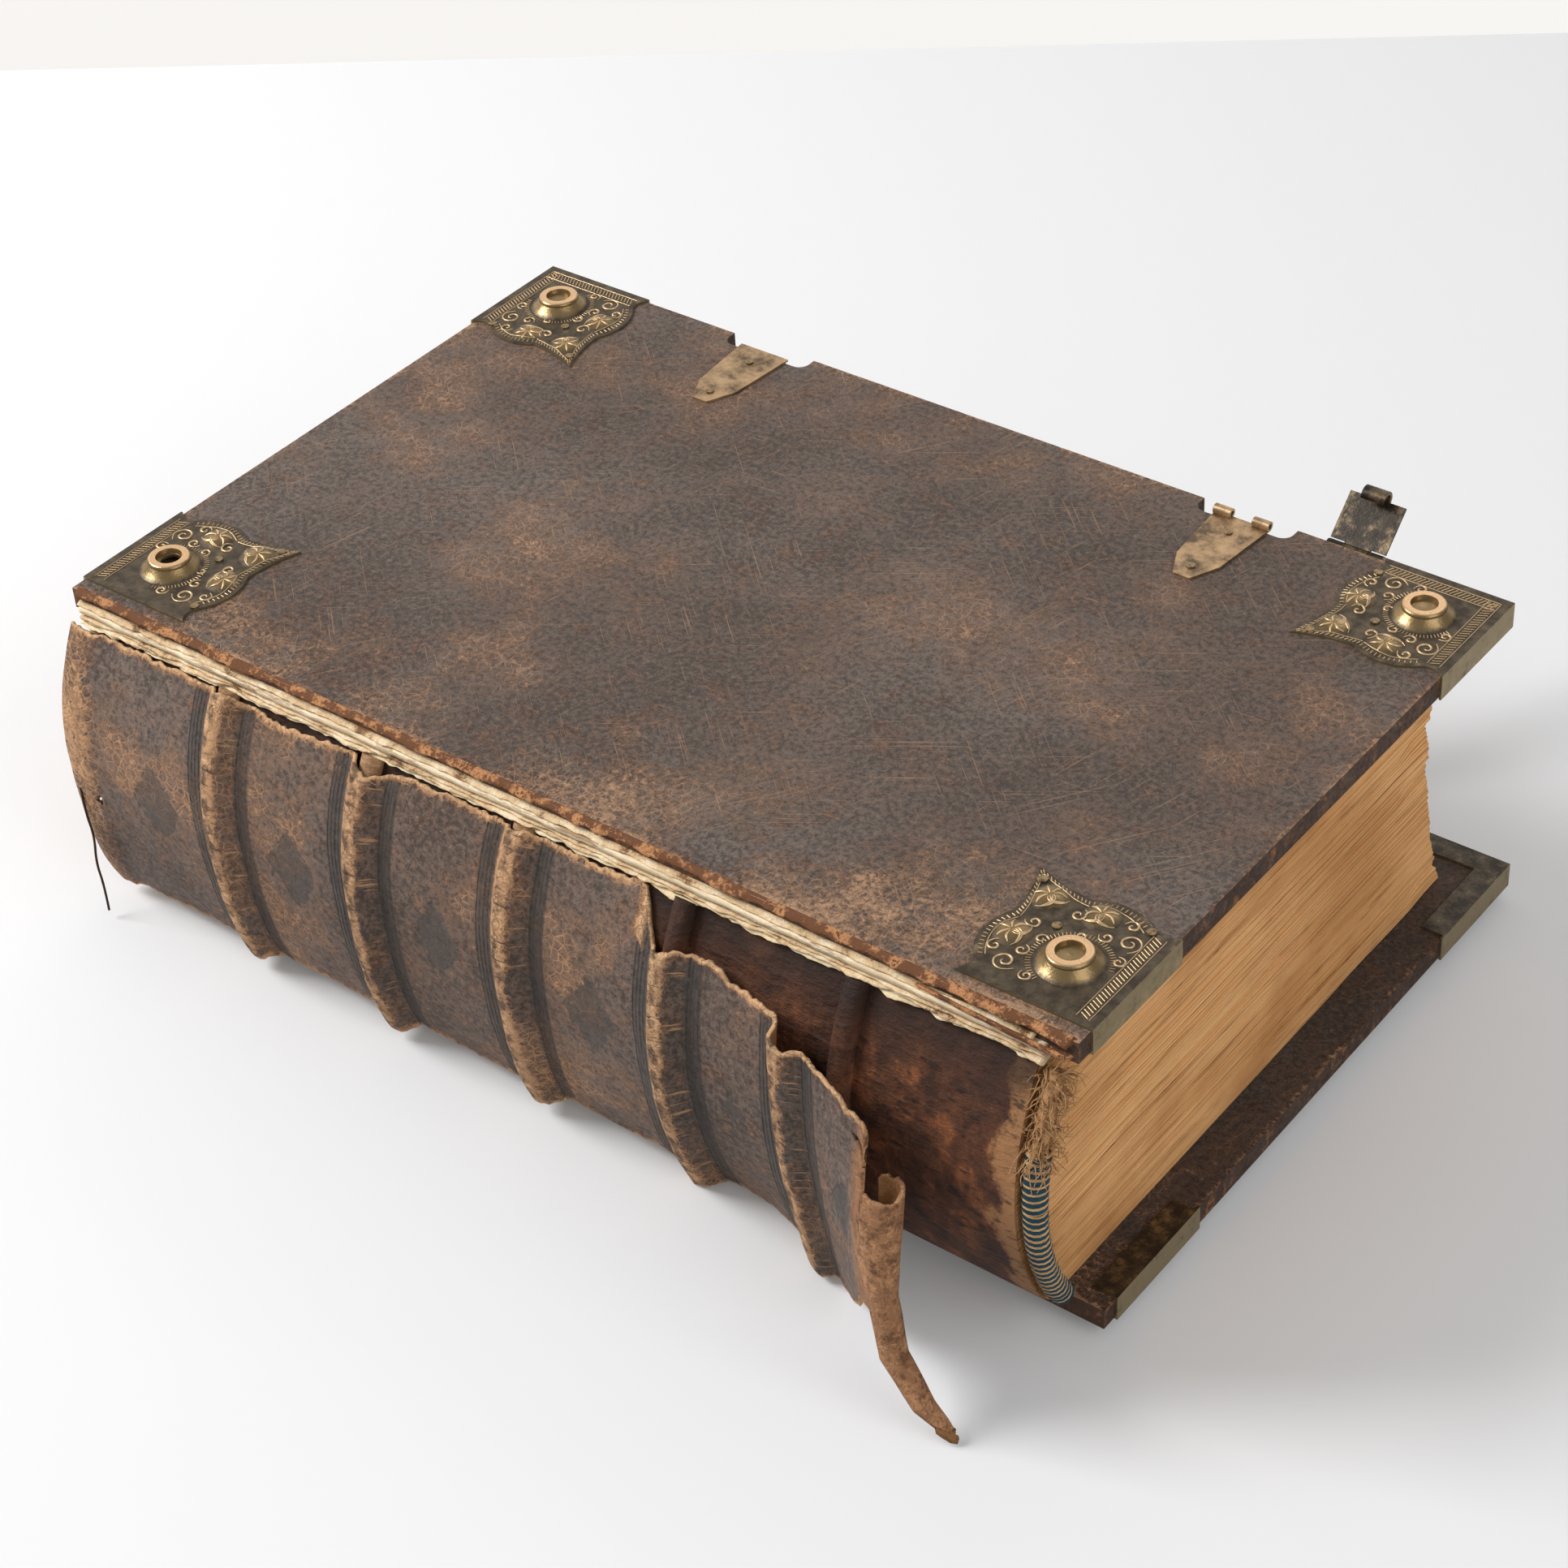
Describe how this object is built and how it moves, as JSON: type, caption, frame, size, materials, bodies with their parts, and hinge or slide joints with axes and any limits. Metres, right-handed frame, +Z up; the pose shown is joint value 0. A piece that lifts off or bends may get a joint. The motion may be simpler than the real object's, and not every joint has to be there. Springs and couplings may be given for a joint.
{
  "type": "antique leather book",
  "caption": "Large antique folio in worn dark calf over wooden boards, with scalloped brass corner fittings, a hinged clasp and a torn spine leather that curls away.",
  "frame": {"origin": "bottom centre of the whole part as the book lies on its lower cover", "axes": "+X along the spine towards the tail, +Y from the spine towards the fore-edge, +Z up"},
  "size_m": [0.4046, 0.3844, 0.1302],
  "materials": {
    "oak": "old, dark and dull",
    "calf": "dry, scuffed to tan on every edge",
    "endpaper": "matte rag paper",
    "leaves": "matte, toned and foxed leaf edges",
    "lining": "dry old glue and leather residue",
    "hemp": "twisted hemp",
    "silk": "blue and cream thread",
    "pin_wire": "dull wire",
    "bright_brass": "rubbed bright",
    "nail_brass": "dull heads",
    "dark_brass": "dark patina, rubbed on the high places"
  },
  "bodies": {
    "lower_cover": {"lower_board": "oak", "lower_board_leather": "calf", "lower_pastedown": "endpaper", "lower_fitting_head_spine": "pin_wire", "lower_fitting_tail_spine": "pin_wire", "lower_fitting_tail_fore": "dark_brass", "lower_fitting_head_fore": "dark_brass", "lower_fitting_nails": "nail_brass", "clasp_anchor_tail": "dark_brass", "clasp_anchor_head": "dark_brass", "anchor_hinge_pins": "pin_wire", "clasp_anchor_nails": "nail_brass"},
    "page_block": {"page_block": "leaves", "spine_lining": "lining", "raised_cord_1": "hemp", "raised_cord_2": "hemp", "raised_cord_3": "hemp", "raised_cord_4": "hemp", "raised_cord_5": "hemp", "tail_endband": "silk", "tail_endband_core": "hemp", "head_endband": "silk", "upper_flyleaf": "endpaper", "lower_flyleaf": "endpaper", "joint_guard": "endpaper", "spine_leather": "calf", "loose_thread": "hemp"},
    "upper_cover": {"upper_board": "oak", "upper_board_leather": "calf", "upper_pastedown": "endpaper", "upper_fitting_head_spine": "pin_wire", "upper_fitting_tail_spine": "pin_wire", "upper_fitting_tail_fore": "dark_brass", "upper_fitting_head_fore": "dark_brass", "upper_fitting_nails": "nail_brass", "catch_plate_tail": "bright_brass", "catch_plate_head": "bright_brass", "catch_nails": "nail_brass"},
    "clasp_strap": {"clasp_strap": "dark_brass", "clasp_bar_pin": "pin_wire"},
    "clasp_hook": {"clasp_hook_plate": "dark_brass"}
  },
  "joints": [
    {"name": "lower_joint", "type": "hinge", "parent": "lower_cover", "child": "page_block", "pos_m": [0.0015, -0.1314, 0.0053], "axis": [-1, 0, 0], "range_deg": [-45, 0]},
    {"name": "upper_joint", "type": "hinge", "parent": "page_block", "child": "upper_cover", "pos_m": [-0.0015, -0.14, 0.1249], "axis": [1, 0, 0], "range_deg": [0, 180]},
    {"name": "clasp_hinge", "type": "hinge", "parent": "lower_cover", "child": "clasp_strap", "pos_m": [0.1055, 0.1134, 0.00915], "axis": [1, 0, 0], "range_deg": [-38, 48]},
    {"name": "hook_hinge", "type": "hinge", "parent": "clasp_strap", "child": "clasp_hook", "pos_m": [0.1055, 0.17527, 0.07102], "axis": [1, 0, 0], "range_deg": [-60, 45]}
  ]
}
